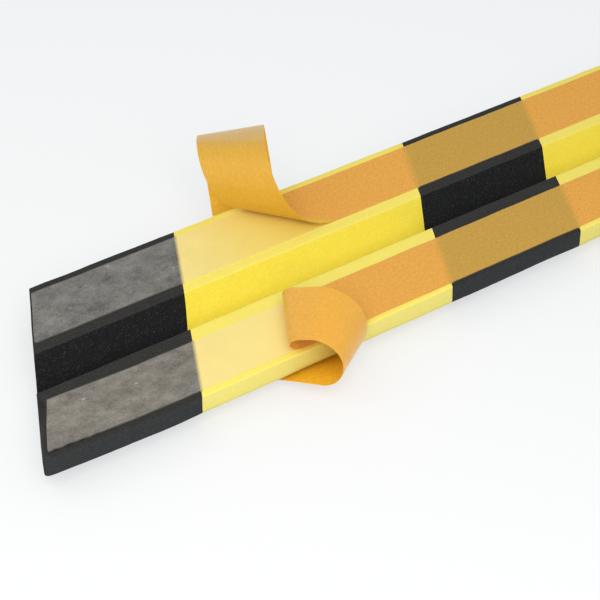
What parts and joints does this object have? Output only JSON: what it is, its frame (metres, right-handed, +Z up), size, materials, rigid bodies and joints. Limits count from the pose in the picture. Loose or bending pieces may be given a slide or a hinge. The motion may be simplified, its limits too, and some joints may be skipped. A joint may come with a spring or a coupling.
{
  "type": "corner bumper",
  "caption": "Foldable foam corner bumper in black and yellow blocks, laid flat, with a fold groove, two tape strips and their half-peeled release papers.",
  "frame": {"origin": "middle of the flat band of the foam strip's back, on the surface that the strip lies on", "axes": "+X along the strip and its fold groove, +Y across it to the far side of the picture, +Z up out of the sticky side"},
  "size_m": [0.8218, 0.253, 0.0758],
  "materials": {
    "foam_black": "matte",
    "foam_yellow": "matte",
    "tape_film": "satin",
    "release_paper": "satin"
  },
  "bodies": {
    "root": {"foam_black_left": "foam_black", "foam_yellow_left": "foam_yellow", "foam_black_middle": "foam_black", "foam_yellow_right": "foam_yellow", "foam_black_right": "foam_black", "tape_far": "tape_film", "tape_near": "tape_film", "paper_far": "release_paper", "paper_near": "release_paper"}
  },
  "joints": []
}
